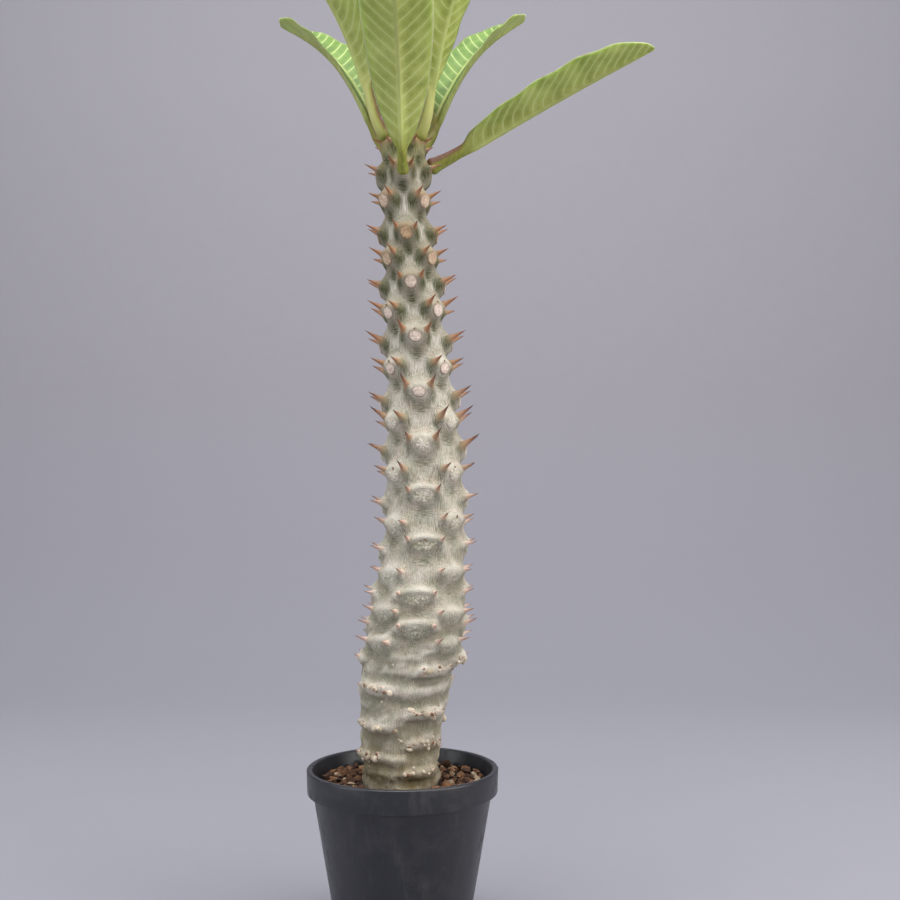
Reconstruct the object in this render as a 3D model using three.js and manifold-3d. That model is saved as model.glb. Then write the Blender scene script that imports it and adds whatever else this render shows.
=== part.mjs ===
// A potted pachypodium: one upright spiny stem with a crown of leaves, standing in gritty soil in a plain dark pot.
// Millimetres, +Z up. The origin is the centre of the pot's foot, on the surface that it stands on.
// The front faces -Y. A bearing is in degrees, 0 at the front and positive towards +X.
import * as THREE from "three";
import { mergeVertices } from "three/addons/utils/BufferGeometryUtils.js";
import Module from "manifold-3d";

const wasm = await Module();
wasm.setup();

const GAP = 0.3; // clearance between pieces that rest on or stand in each other
const SLIVER = 0.05; // faces narrower than this are joined to their neighbours

// Pot
const POT_HEIGHT = 95;
const RIM_RADIUS = 52.5;
const FOOT_RADIUS = 35;
const WALL = 2.2;
const BAND_HEIGHT = 14;
const BAND_STEP = 1.3; // how far the rim band stands out from the wall below it
const FLOOR_UNDERSIDE = 2.5;
const FLOOR_TOP = 5;
const FOOT_RING_WIDTH = 4;
const CENTRE_PAD_RADIUS = 8;
const DRAIN_COUNT = 6;
const DRAIN_RADIUS = 4;
const DRAIN_CIRCLE = 20;
const NOTCH = { width: 7, height: 1.5 };
const POT_SIDES = 36;

// Soil
const SOIL_TOP = POT_HEIGHT - 8.5;
const GRAIN_COUNT = 60;
const GRAIN_SIZE = [2.6, 4.3]; // radius of the smallest and the largest grain

// Stem: at each height, the radius of the core between the knobs, and how far the core leans towards +X.
const STEM_BASE = 42;
const STEM_TIP = 455;
const STEM_STATIONS = [
  { z: 42, radius: 9, lean: -1.4 },
  { z: 60, radius: 16, lean: -1.4 },
  { z: 87, radius: 20.3, lean: -1.4 },
  { z: 108, radius: 21.4, lean: -0.9 },
  { z: 130, radius: 23.3, lean: 0.8 },
  { z: 146, radius: 25.2, lean: 2.6 },
  { z: 162, radius: 25.8, lean: 6.2 },
  { z: 190, radius: 24.0, lean: 9.2 },
  { z: 222, radius: 21.2, lean: 12.0 },
  { z: 250, radius: 20.3, lean: 12.0 },
  { z: 278, radius: 18.6, lean: 11.0 },
  { z: 306, radius: 16.5, lean: 9.0 },
  { z: 339, radius: 14.6, lean: 6.4 },
  { z: 371, radius: 12.8, lean: 4.2 },
  { z: 400, radius: 11.0, lean: 1.4 },
  { z: 434, radius: 10.4, lean: 0.5 },
  { z: 447, radius: 7.6, lean: 0.4 },
  { z: 455, radius: 2.4, lean: 0.4 },
];
const STEM_SIDES = 32;

// Knobs stand in whorls of four. One whorl faces the front and the next sits between its knobs.
// On the oldest wood above the soil they are opposite pairs, stretched into low ridges.
const FRONT_WHORLS = [447, 421, 387, 360.5, 331, 300.5, 273.5, 246, 220, 192, 174.5];
const LAST_DIAGONAL_WHORL = 164;
// On the middle of the stem the columns lag behind their whorl by these heights, all round from the front.
const COLUMN_LAG = { 0: 0, 45: 0.5, 90: 3.5, 135: 2, 180: 3, 225: 3.5, 270: 6.5, 315: 1.5 };
const RIDGE_PAIRS = [
  { z: 154.5, bearing: 80, swell: 1.8 },
  { z: 152, bearing: 34 },
  { z: 141, bearing: -48 },
  { z: 127.5, bearing: 36 },
  { z: 120.5, bearing: -50 },
  { z: 110.5, bearing: 38 },
  { z: 103.5, bearing: -48 },
  { z: 96, bearing: 30 },
];

// How a knob is shaped, by height: how far it stands out, its half width, its reach up and down,
// how far each of its two spines sits from its middle, and how long and thick a spine is.
const KNOB_STATIONS = [
  { z: 97, out: 2.0, half: 15, up: 3.4, down: 2.6, spread: 8.5, spine: 1.8, thick: 1.2 },
  { z: 153, out: 2.6, half: 13, up: 4.4, down: 3.4, spread: 9, spine: 2.4, thick: 1.4 },
  { z: 158, out: 3.4, half: 11, up: 4.8, down: 3.8, spread: 6.5, spine: 5, thick: 1.6 },
  { z: 165, out: 3.6, half: 10.5, up: 5, down: 4, spread: 8.6, spine: 7.6, thick: 1.8 },
  { z: 192, out: 3.6, half: 10.5, up: 5.4, down: 4.4, spread: 9.4, spine: 6.4, thick: 1.7 },
  { z: 220, out: 3.6, half: 9.4, up: 6, down: 4.8, spread: 9, spine: 7, thick: 1.8 },
  { z: 246, out: 3.8, half: 8.4, up: 6.4, down: 5, spread: 7.4, spine: 8.5, thick: 2.1 },
  { z: 273, out: 4.4, half: 7.4, up: 6.6, down: 5.2, spread: 7.1, spine: 11.5, thick: 2.6 },
  { z: 300, out: 4.8, half: 6.8, up: 6.6, down: 5.2, spread: 6.6, spine: 11, thick: 2.6 },
  { z: 331, out: 5.2, half: 6.4, up: 6.4, down: 5.2, spread: 6.4, spine: 11, thick: 2.6 },
  { z: 360, out: 5.2, half: 5.8, up: 6, down: 5.2, spread: 5.6, spine: 10, thick: 2.4 },
  { z: 386, out: 5.2, half: 5.2, up: 5.8, down: 5, spread: 5, spine: 9, thick: 2.3 },
  { z: 419, out: 5, half: 5.2, up: 5.6, down: 4.8, spread: 5.2, spine: 9, thick: 2.1 },
  { z: 447, out: 2, half: 4, up: 4, down: 4, spread: 3.2, spine: 4.5, thick: 1.4 },
];
const SPINE_LEAN = { out: 0.82, aside: 0.26, up: 0.5 }; // a spine's direction, in the knob's own frame
const SPINE_ROOT = 2.5; // how deep a spine's root sinks into the stem
const SHORTEST_SPINE = 3; // the ridges near the soil have worn their spines down to nothing
const SPINE_SIDES = 3;
const SCAR_TOP_WHORL = 402; // below this height a knob's leaf has gone and left a round scar
const SCAR_FOOT = 225; // scars lower than this have grown flat into the bark
const SCAR_RADIUS = { foot: 3.5, face: 3 };
const SCAR_SIDES = 6;

// Leaves. z and bearing place a leaf's foot on the knob that carries it. Its angle above level, rise, is given
// at the foot, at the end of the stalk and at the tip.
const LEAVES = [
  { name: "leaf_front", z: 418, bearing: 0, heading: -3, rise: [46, 68, 38], stalk: 17, blade: 112, half: 19 },
  { name: "leaf_right", z: 424, bearing: 88, heading: 86, rise: [26, 30, 24], stalk: 19, blade: 118, half: 20 },
  { name: "leaf_back", z: 421, bearing: 180, heading: 176, rise: [36, 56, 20], stalk: 17, blade: 116, half: 20 },
  { name: "leaf_left_upper", z: 438, bearing: -50, heading: -70, rise: [56, 75, 40], stalk: 17, blade: 114, half: 19 },
  { name: "leaf_right_upper", z: 438, bearing: 48, heading: 44, rise: [56, 76, 52], stalk: 17, blade: 106, half: 18 },
  { name: "leaf_back_left", z: 436, bearing: -134, heading: -128, rise: [46, 64, 28], stalk: 16, blade: 110, half: 19 },
  { name: "leaf_back_right", z: 436, bearing: 134, heading: 130, rise: [46, 66, 32], stalk: 16, blade: 108, half: 19 },
  { name: "leaf_young_left", z: 449, bearing: -90, heading: -100, rise: [64, 82, 62], stalk: 9, blade: 70, half: 11.5 },
  { name: "leaf_young_right", z: 449, bearing: 90, heading: 100, rise: [64, 84, 68], stalk: 9, blade: 62, half: 10.5 },
  { name: "leaf_young_back", z: 449, bearing: 180, heading: 180, rise: [66, 84, 70], stalk: 8, blade: 52, half: 9 },
];
const STALK_RADIUS = 3.7;
const YOUNG_STALK_RADIUS = 2.1;
const SOCKET_DEPTH = 1.8; // how far a leaf stalk is seated in its knob
const STRAIGHT_STALK = 4; // the stalk runs straight this far before it starts to bend
const BLADE_THICKNESS = 0.8;
const BLADE_FOLD = 0.42; // slope of each half of the blade away from the midrib
// Half width of the blade from its base to its tip, as a share of the widest.
const BLADE_OUTLINE = [
  [0, 0.17],
  [0.1, 0.46],
  [0.25, 0.75],
  [0.45, 0.94],
  [0.62, 1],
  [0.78, 0.9],
  [0.9, 0.62],
  [0.97, 0.32],
  [1, 0.07],
];

const radians = THREE.MathUtils.degToRad;
const pebble = (n) => {
  const x = Math.sin(n * 12.9898) * 43758.5453; // the same fixed draw from 0 to 1 for each n
  return x - Math.floor(x);
};
const outward = (bearing) => new THREE.Vector3(Math.sin(radians(bearing)), -Math.cos(radians(bearing)), 0);
const aside = (bearing) => new THREE.Vector3(Math.cos(radians(bearing)), Math.sin(radians(bearing)), 0);
const UP = new THREE.Vector3(0, 0, 1);

// A smooth curve through stations sorted by z, read for one of their values.
function readStations(stations, key, z) {
  const last = stations.length - 1;
  if (z <= stations[0].z) return stations[0][key];
  if (z >= stations[last].z) return stations[last][key];
  const i = stations.findIndex((s) => s.z > z) - 1;
  const slope = (k) => {
    const a = stations[Math.max(k - 1, 0)];
    const b = stations[Math.min(k + 1, last)];
    return (b[key] - a[key]) / (b.z - a.z);
  };
  const [s0, s1] = [stations[i], stations[i + 1]];
  const span = s1.z - s0.z;
  const t = (z - s0.z) / span;
  const t2 = t * t;
  const t3 = t2 * t;
  return (
    (2 * t3 - 3 * t2 + 1) * s0[key] +
    (t3 - 2 * t2 + t) * span * slope(i) +
    (-2 * t3 + 3 * t2) * s1[key] +
    (t3 - t2) * span * slope(i + 1)
  );
}

function solidOf(geometry) {
  const bare = geometry.clone();
  bare.deleteAttribute("normal");
  bare.deleteAttribute("uv");
  const merged = mergeVertices(bare, 1e-4);
  return new wasm.Manifold(
    new wasm.Mesh({
      numProp: 3,
      vertProperties: merged.attributes.position.array,
      triVerts: new Uint32Array(merged.index.array),
    }),
  );
}

function geometryOf(solid) {
  const mesh = solid.getMesh();
  return new THREE.BufferGeometry()
    .setAttribute("position", new THREE.BufferAttribute(mesh.vertProperties, 3))
    .setIndex(new THREE.BufferAttribute(mesh.triVerts, 1));
}

const unionOf = (solids) => solids.reduce((whole, part) => whole.add(part));

function lathe(profile, sides, axisX = 0) {
  return solidOf(
    new THREE.LatheGeometry(
      profile.map(([r, z]) => new THREE.Vector2(r, z)),
      sides,
    )
      .rotateX(Math.PI / 2)
      .translate(axisX, 0, 0),
  );
}

// A closed skin over rings of points. From splitAt on, each ring's squares are cut by the other diagonal,
// so that the two faces of a thin blade are cut alike.
function loft(rings, splitAt = Infinity) {
  const n = rings[0].length;
  const points = [...rings.flat(), centreOf(rings[0]), centreOf(rings[rings.length - 1])];
  const [first, last] = [points.length - 2, points.length - 1];
  const index = [];
  for (let i = 0; i < rings.length - 1; i++)
    for (let j = 0; j < n; j++) {
      const k = (j + 1) % n;
      const [a, b, c, d] = [i * n + j, i * n + k, (i + 1) * n + k, (i + 1) * n + j];
      if (j < splitAt) index.push(a, b, c, a, c, d);
      else index.push(a, b, d, b, c, d);
    }
  for (let j = 0; j < n; j++) {
    const k = (j + 1) % n;
    index.push(first, k, j, last, (rings.length - 1) * n + j, (rings.length - 1) * n + k);
  }
  return new THREE.BufferGeometry().setFromPoints(points).setIndex(index);
}

const centreOf = (ring) => ring.reduce((sum, p) => sum.add(p), new THREE.Vector3()).divideScalar(ring.length);

// A straight bar of round or faceted section from one point to another.
function bar(from, to, radiusFrom, radiusTo, sides) {
  const along = to.clone().sub(from);
  const geometry = new THREE.CylinderGeometry(radiusTo, radiusFrom, along.length(), sides);
  geometry.translate(0, along.length() / 2, 0);
  geometry.applyQuaternion(new THREE.Quaternion().setFromUnitVectors(new THREE.Vector3(0, 1, 0), along.normalize()));
  return solidOf(geometry.translate(from.x, from.y, from.z));
}

// A spike from the middle of its foot to its point.
function spike(foot, point, radius, sides) {
  const along = point.clone().sub(foot);
  const geometry = new THREE.ConeGeometry(radius, along.length(), sides).translate(0, along.length() / 2, 0);
  geometry.applyQuaternion(new THREE.Quaternion().setFromUnitVectors(new THREE.Vector3(0, 1, 0), along.normalize()));
  return solidOf(geometry.translate(foot.x, foot.y, foot.z));
}

// Every knob of the stem, from the tip to the soil.
function knobList() {
  const knobs = [];
  const add = (z, bearing, swell = 1) => {
    const n = knobs.length + 1;
    const height = z + (pebble(n) - 0.5) * 1.6;
    const shape = Object.fromEntries(
      ["out", "half", "up", "down", "spread", "spine", "thick"].map((key) => [key, readStations(KNOB_STATIONS, key, z)]),
    );
    const middleOfStem = THREE.MathUtils.smoothstep(z, 180, 230) * (1 - THREE.MathUtils.smoothstep(z, 300, 400));
    const lag = (COLUMN_LAG[(bearing + 360) % 360] ?? 0) * middleOfStem;
    shape.out *= swell;
    knobs.push({ ...shape, n, z: height - lag, bearing: bearing + (pebble(n + 0.5) - 0.5) * 5 });
  };
  FRONT_WHORLS.forEach((z, i) => {
    const next = FRONT_WHORLS[i + 1] ?? LAST_DIAGONAL_WHORL - 4;
    const share = 0.47 + 0.016 * i;
    for (const bearing of [0, 90, 180, 270]) add(z, bearing);
    for (const bearing of [-45, 45, 135, 225]) add(z + (next - z) * share, bearing);
  });
  for (const { z, bearing, swell } of RIDGE_PAIRS) {
    add(z, bearing, swell);
    add(z, bearing + 180, swell);
  }
  return knobs;
}
const KNOBS = knobList();

const coreAxis = (z) => new THREE.Vector3(readStations(STEM_STATIONS, "lean", z), 0, z);

// The stem's radius towards a bearing at a height: its core and what the knobs near it add.
function stemRadius(bearing, z) {
  const core = readStations(STEM_STATIONS, "radius", z);
  let raised = 0;
  for (const knob of KNOBS) {
    const up = z - knob.z;
    if (Math.abs(up) > 3 * knob.up) continue;
    const turn = radians(((((bearing - knob.bearing) % 360) + 540) % 360) - 180);
    const across = (turn * (core + knob.out)) / knob.half;
    const along = up / (up > 0 ? knob.up : knob.down);
    raised += knob.out * Math.exp(-across * across - along * along);
  }
  return core + raised;
}

const stemPoint = (bearing, z) => coreAxis(z).add(outward(bearing).multiplyScalar(stemRadius(bearing, z)));

// Ring heights: one through each row of knobs, where the stem is widest, and one in the hollow below it.
function ringHeights() {
  const rows = [];
  FRONT_WHORLS.forEach((z, i) => {
    const next = FRONT_WHORLS[i + 1] ?? LAST_DIAGONAL_WHORL - 4;
    rows.push(z, z + (next - z) * (0.47 + 0.016 * i));
  });
  rows.push(...RIDGE_PAIRS.map((pair) => pair.z), 88);
  const heights = [STEM_TIP, (STEM_TIP + rows[0]) / 2 + 1];
  rows.slice(0, -1).forEach((z, i) => {
    heights.push(z, z - 0.5 * (z - rows[i + 1]));
  });
  heights.push(rows.at(-1), 80, 68, 56, 47, STEM_BASE);
  return heights;
}

function makeStem() {
  const rings = ringHeights()
    .reverse()
    .map((z) => Array.from({ length: STEM_SIDES }, (_, j) => stemPoint((360 * j) / STEM_SIDES, z)));
  const body = solidOf(loft(rings));
  const spines = [];
  const scars = [];
  for (const knob of KNOBS) {
    const turnPerMm = 180 / Math.PI / stemRadius(knob.bearing, knob.z);
    for (const side of knob.spine < SHORTEST_SPINE ? [] : [-1, 1]) {
      const rootBearing = knob.bearing + side * knob.spread * turnPerMm;
      const root = stemPoint(rootBearing, knob.z + 1.2);
      const direction = outward(knob.bearing)
        .multiplyScalar(SPINE_LEAN.out)
        .addScaledVector(aside(knob.bearing), side * SPINE_LEAN.aside)
        .addScaledVector(UP, SPINE_LEAN.up)
        .normalize();
      const inner = root.clone().addScaledVector(outward(rootBearing), -SPINE_ROOT);
      const point = root.clone().addScaledVector(direction, knob.spine);
      spines.push(spike(inner, point, knob.thick * 1.35, SPINE_SIDES));
    }
    if (knob.z < SCAR_TOP_WHORL + 4 && knob.z > SCAR_FOOT) {
      const middle = stemPoint(knob.bearing, knob.z - 1.8);
      const face = outward(knob.bearing).addScaledVector(UP, -0.3).normalize();
      const inside = middle.clone().addScaledVector(face, -1.8);
      scars.push(bar(inside, middle.clone().addScaledVector(face, 0.7), SCAR_RADIUS.foot, SCAR_RADIUS.face, SCAR_SIDES));
    }
  }
  return unionOf([body, ...scars, ...spines]).asOriginal().simplify(SLIVER);
}

const isYoung = (leaf) => leaf.name.includes("young");
const stalkRadius = (leaf) => (isYoung(leaf) ? YOUNG_STALK_RADIUS : STALK_RADIUS);

// The line a leaf grows along, as points and directions at a list of distances from its seat.
function leafLine(leaf, distances) {
  const length = leaf.stalk + leaf.blade;
  const seat = coreAxis(leaf.z).addScaledVector(outward(leaf.bearing), stemRadius(leaf.bearing, leaf.z) - 0.4);
  const directionAt = (s) => {
    const lifting = THREE.MathUtils.smoothstep(s, STRAIGHT_STALK, leaf.stalk);
    const arching = THREE.MathUtils.smoothstep(s, leaf.stalk, length);
    const [foot, neck, tip] = leaf.rise;
    const rise = radians(foot + (neck - foot) * lifting + (tip - neck) * arching);
    return outward(leaf.heading).multiplyScalar(Math.cos(rise)).addScaledVector(UP, Math.sin(rise));
  };
  const step = 1;
  const point = seat.clone().addScaledVector(directionAt(0), -SOCKET_DEPTH + GAP);
  const stations = [];
  let s = -SOCKET_DEPTH + GAP;
  for (const distance of distances) {
    while (s < distance - 1e-9) {
      const move = Math.min(step, distance - s);
      point.addScaledVector(directionAt(s + move / 2), move);
      s += move;
    }
    stations.push({ point: point.clone(), along: directionAt(s) });
  }
  return { seat, stations, start: directionAt(0) };
}

function outlineAt(u) {
  const i = Math.max(1, BLADE_OUTLINE.findIndex(([at]) => at >= u));
  const [[u0, w0], [u1, w1]] = [BLADE_OUTLINE[i - 1], BLADE_OUTLINE[i]];
  return w0 + ((w1 - w0) * (u - u0)) / (u1 - u0);
}

// Ten points round a leaf's section: the first five across its upper face, the rest back across the lower one.
function leafSection(leaf, distance) {
  const radius = stalkRadius(leaf);
  const u = (distance - leaf.stalk) / leaf.blade;
  const stalk = Array.from({ length: 10 }, (_, j) => {
    const angle = radians(18 + 36 * j);
    return [radius * Math.cos(angle), 0.9 * radius * Math.sin(angle)];
  });
  if (u <= 0) return stalk;
  const half = leaf.half * outlineAt(u);
  const rib = 2 * radius * 0.7 * (1 - u) ** 0.8;
  const lift = radius * 0.5 * (1 - u) ** 3;
  const rise = (v) => lift + BLADE_FOLD * half * Math.abs(v) ** 1.15 - 0.06 * half * v * v;
  const upper = [1, 0.5, 0, -0.5, -1].map((v) => [v * half, rise(v)]);
  const lower = [-1, -0.5, 0, 0.5, 1].map((v) => [v * half, rise(v) - (v === 0 ? BLADE_THICKNESS + rib : BLADE_THICKNESS)]);
  return [...upper, ...lower];
}

function makeLeaf(leaf) {
  const distances = [
    -SOCKET_DEPTH + GAP,
    leaf.stalk * 0.35,
    leaf.stalk * 0.7,
    leaf.stalk,
    ...[0.07, 0.18, 0.32, 0.47, 0.62, 0.76, 0.88, 0.96, 1].map((u) => leaf.stalk + u * leaf.blade),
  ];
  const { stations } = leafLine(leaf, distances);
  const side = aside(leaf.heading);
  const rings = stations.map(({ point, along }, i) => {
    const above = new THREE.Vector3().crossVectors(along, side);
    return leafSection(leaf, distances[i]).map(([v, n]) =>
      point.clone().addScaledVector(side, v).addScaledVector(above, n),
    );
  });
  return solidOf(loft(rings, 5));
}

// The clear space round a leaf's stalk, cut out of the stem to seat it.
function leafSocket(leaf) {
  const { seat, start } = leafLine(leaf, [0]);
  const radius = stalkRadius(leaf) + GAP;
  return bar(seat.clone().addScaledVector(start, -SOCKET_DEPTH), seat.clone().addScaledVector(start, 9), radius, radius, 10);
}

function makePot() {
  const wallAt = (z) => {
    const top = RIM_RADIUS - BAND_STEP;
    return FOOT_RADIUS + ((top - FOOT_RADIUS) * z) / POT_HEIGHT;
  };
  const bandFoot = POT_HEIGHT - BAND_HEIGHT;
  const round = 1.2; // radius of the lip's edges
  const profile = [
    [0, 0],
    [CENTRE_PAD_RADIUS, 0],
    [CENTRE_PAD_RADIUS, FLOOR_UNDERSIDE],
    [FOOT_RADIUS - FOOT_RING_WIDTH, FLOOR_UNDERSIDE],
    [FOOT_RADIUS - FOOT_RING_WIDTH, 0],
    [FOOT_RADIUS - 0.8, 0],
    [FOOT_RADIUS + 0.2, 1],
    [wallAt(bandFoot), bandFoot],
    [RIM_RADIUS - 0.4, bandFoot + 1],
    [RIM_RADIUS, POT_HEIGHT - round],
    [RIM_RADIUS - 0.35 * round, POT_HEIGHT - 0.35 * round],
    [RIM_RADIUS - round, POT_HEIGHT],
    [RIM_RADIUS - WALL - 0.6, POT_HEIGHT],
    [RIM_RADIUS - WALL - 1.2, POT_HEIGHT - 0.8],
    [wallAt(bandFoot) - WALL, bandFoot],
    [FOOT_RADIUS - WALL + 1, FLOOR_TOP + 3],
    [FOOT_RADIUS - WALL - 2, FLOOR_TOP],
    [0, FLOOR_TOP],
  ];
  let pot = lathe(profile, POT_SIDES);
  for (let i = 0; i < DRAIN_COUNT; i++) {
    const bearing = (360 * i) / DRAIN_COUNT;
    const centre = outward(bearing).multiplyScalar(DRAIN_CIRCLE);
    const drain = bar(centre.clone().setZ(-1), centre.clone().setZ(FLOOR_TOP + 1), DRAIN_RADIUS, DRAIN_RADIUS, 10);
    const notch = new THREE.BoxGeometry(NOTCH.width, 3 * FOOT_RING_WIDTH, 2 * NOTCH.height)
      .translate(0, -FOOT_RADIUS, 0)
      .rotateZ(radians(bearing));
    pot = pot.subtract(drain).subtract(solidOf(notch));
  }
  return pot;
}

// The plain hole that the stem stands in, GAP wider than the buried part of it.
function stemHole(top) {
  const heights = [47, 56, 68, 80, SOIL_TOP, top];
  const widen = GAP + 0.35; // the stem's facets reach past the smooth radius of the hole's own
  const profile = [
    [0, STEM_BASE - GAP],
    [readStations(STEM_STATIONS, "radius", STEM_BASE) + widen, STEM_BASE - GAP],
    ...heights.map((z) => [readStations(STEM_STATIONS, "radius", z) + widen, z]),
    [0, top],
  ];
  return lathe(profile, STEM_SIDES, readStations(STEM_STATIONS, "lean", STEM_BASE));
}

function makeSoil() {
  const innerFoot = FOOT_RADIUS - WALL + 1;
  const wallTop = RIM_RADIUS - BAND_STEP;
  const innerWall = (z) => FOOT_RADIUS + ((wallTop - FOOT_RADIUS) * z) / POT_HEIGHT - WALL - GAP - 0.3;
  const column = (top) => [
    [0, FLOOR_TOP + GAP],
    [innerFoot - 3.6, FLOOR_TOP + GAP],
    [innerFoot - 0.7, FLOOR_TOP + 3.4],
    [innerWall(POT_HEIGHT - BAND_HEIGHT - 2), POT_HEIGHT - BAND_HEIGHT - 2],
    [innerWall(POT_HEIGHT - BAND_HEIGHT - 2) + 0.3, top],
    [0, top],
  ];
  const bed = lathe(column(SOIL_TOP), POT_SIDES);
  const inside = lathe(column(POT_HEIGHT), POT_SIDES);
  const [nearest, furthest] = [readStations(STEM_STATIONS, "radius", SOIL_TOP) + 1.5, innerWall(SOIL_TOP) - 2.2];
  const grains = [];
  for (let i = 0; i < GRAIN_COUNT; i++) {
    const share = (i + 0.5) / GRAIN_COUNT;
    const distance = Math.sqrt(nearest ** 2 + (furthest ** 2 - nearest ** 2) * share);
    const spot = outward(i * 137.508).multiplyScalar(distance);
    const size = GRAIN_SIZE[0] + (GRAIN_SIZE[1] - GRAIN_SIZE[0]) * pebble(i + 300) ** 1.5;
    const grain = new THREE.IcosahedronGeometry(size, 0)
      .scale(1, 0.8 + 0.35 * pebble(i + 400), 0.75)
      .rotateX(3 * pebble(i + 500))
      .rotateZ(6 * pebble(i + 600))
      .translate(spot.x - 1.4, spot.y, SOIL_TOP + size * (0.35 * pebble(i + 700) - 0.1));
    grains.push(solidOf(grain));
  }
  return unionOf([bed, ...grains]).intersect(inside).subtract(stemHole(POT_HEIGHT));
}

const look = (color, roughness) => new THREE.MeshStandardMaterial({ color, roughness, metalness: 0 });
const MATERIALS = {
  pot: look(0x26282d, 0.45),
  soil: look(0x8a5a38, 0.95),
  bark: look(0xb0aa9c, 0.75),
  leaf: look(0x7f9a48, 0.5),
  youngLeaf: look(0x93aa56, 0.5),
};

const plant = new THREE.Group();
function place(name, solid, material) {
  const mesh = new THREE.Mesh(geometryOf(solid), material);
  mesh.name = name;
  plant.add(mesh);
}

place("pot", makePot(), MATERIALS.pot);
place("soil", makeSoil(), MATERIALS.soil);
place("stem", makeStem().subtract(unionOf(LEAVES.map(leafSocket))), MATERIALS.bark);
for (const leaf of LEAVES) place(leaf.name, makeLeaf(leaf), isYoung(leaf) ? MATERIALS.youngLeaf : MATERIALS.leaf);

export default plant;
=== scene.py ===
"""A potted pachypodium: a spiny grey stem with a crown of leaves, in gritty soil in a black plastic pot."""

import math
import random
from types import SimpleNamespace

import bmesh
import bpy
import numpy as np
from mathutils import Matrix, Vector, noise


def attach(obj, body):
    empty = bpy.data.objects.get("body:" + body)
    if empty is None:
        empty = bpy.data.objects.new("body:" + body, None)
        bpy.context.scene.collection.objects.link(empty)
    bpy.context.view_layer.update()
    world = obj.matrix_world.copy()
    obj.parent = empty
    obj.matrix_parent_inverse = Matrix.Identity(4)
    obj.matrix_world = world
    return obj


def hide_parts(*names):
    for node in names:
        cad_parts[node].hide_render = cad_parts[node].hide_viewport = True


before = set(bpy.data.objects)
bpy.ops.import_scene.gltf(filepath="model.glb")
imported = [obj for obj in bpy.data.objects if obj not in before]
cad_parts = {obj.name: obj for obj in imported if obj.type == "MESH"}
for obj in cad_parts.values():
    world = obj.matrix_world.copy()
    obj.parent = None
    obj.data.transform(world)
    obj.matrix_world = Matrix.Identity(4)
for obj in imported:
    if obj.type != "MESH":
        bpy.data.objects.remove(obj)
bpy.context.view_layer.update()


# The pot: a thin-walled black polypropylene nursery pot, moulded in one piece. Its wall tapers to a notched
# foot ring round a raised floor with drain holes, and a rim band stands out from the wall at the top.
# The skin is satin, with faint scuffs and a bloom of dust from the soil.
MM = 0.001
POT_HEIGHT = 95
RIM_RADIUS = 52.5
FOOT_RADIUS = 35
WALL = 2.2
BAND_HEIGHT = 14
BAND_STEP = 1.3
FOOT_RING = 4
FLOOR_UNDERSIDE = 2.5
FLOOR_TOP = 5
MIDDLE_PAD_RADIUS = 8
LIP_THICKER = 0.9
LIP_ROUNDING = 1.1
LEDGE_ROUNDING = 0.4
DRAIN_HOLES = 6
DRAIN_RADIUS = 4
DRAIN_CIRCLE = 20
NOTCH_SIZE = (7, 12, 3)
POT_STEPS = 144


def linear(red, green, blue):
    """A screen colour, 0 to 255, as the shader's linear colour."""
    channels = [c / 255 for c in (red, green, blue)]
    return (*[c / 12.92 if c <= 0.04045 else ((c + 0.055) / 1.055) ** 2.4 for c in channels], 1)


def surface(name):
    """A new material with a plain shader."""
    material = bpy.data.materials.new(name)
    material.use_nodes = True
    return material


def feed(made, sockets):
    """Sets a node's sockets, each to a value or linked to another socket."""
    for name, value in sockets.items():
        if isinstance(value, bpy.types.NodeSocket):
            made.id_data.links.new(value, made.inputs[name])
        else:
            made.inputs[name].default_value = value


def knit(tree, kind, sockets=None, **settings):
    """Adds a node to a material's tree."""
    made = tree.nodes.new(kind)
    for name, value in settings.items():
        setattr(made, name, value)
    feed(made, sockets or {})
    return made


def tree_of(*values):
    """The node tree that the linked ones among these values stand in."""
    return next(value.id_data for value in values if isinstance(value, bpy.types.NodeSocket))


def place_on(material):
    """A place on the piece, in metres."""
    return knit(material.node_tree, "ShaderNodeTexCoord").outputs["Object"]


def mark(material, name):
    """Reads a value that the shape carries at each of its points."""
    return knit(material.node_tree, "ShaderNodeAttribute", attribute_name=name).outputs["Fac"]


def speckle(material, scale, detail=4, stretch=(1, 1, 1), rough=0.55):
    """Noise of a real size, in lumps a metre; a stretch under 1 draws the lumps out that way."""
    sockets = {"Vector": place_on(material), "Scale": stretch}
    drawn = knit(material.node_tree, "ShaderNodeMapping", sockets).outputs["Vector"]
    sockets = {"Vector": drawn, "Scale": scale, "Detail": detail, "Roughness": rough}
    return knit(material.node_tree, "ShaderNodeTexNoise", sockets).outputs["Fac"]


def stretch_to(value, low, high, to_low=0.0, to_high=1.0):
    """Takes the part of a value between low and high to a new range."""
    sockets = {"Value": value, "From Min": low, "From Max": high, "To Min": to_low, "To Max": to_high}
    return knit(tree_of(value), "ShaderNodeMapRange", sockets, clamp=True).outputs["Result"]


def reckon(operation, *values, clamp=False):
    """One step of arithmetic in a material."""
    sockets = dict(enumerate(values))
    return knit(tree_of(*values), "ShaderNodeMath", sockets, operation=operation, use_clamp=clamp).outputs[0]


def plus(first, second):
    """The sum of two values, held between 0 and 1."""
    return reckon("ADD", first, second, clamp=True)


def times(first, *others):
    """The product of values, held between 0 and 1."""
    for other in others:
        first = reckon("MULTIPLY", first, other, clamp=True)
    return first


def layer(factor, under, over):
    """Lays one colour over another by a factor."""
    sockets = {0: factor, 6: under, 7: over}
    return knit(tree_of(factor, under, over), "ShaderNodeMix", sockets, data_type="RGBA").outputs[2]


def coats(colour, *each):
    """Lays plain colours over a colour in turn. Each is its factor and a screen colour."""
    for factor, *screen_colour in each:
        colour = layer(factor, colour, linear(*screen_colour))
    return colour


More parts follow.
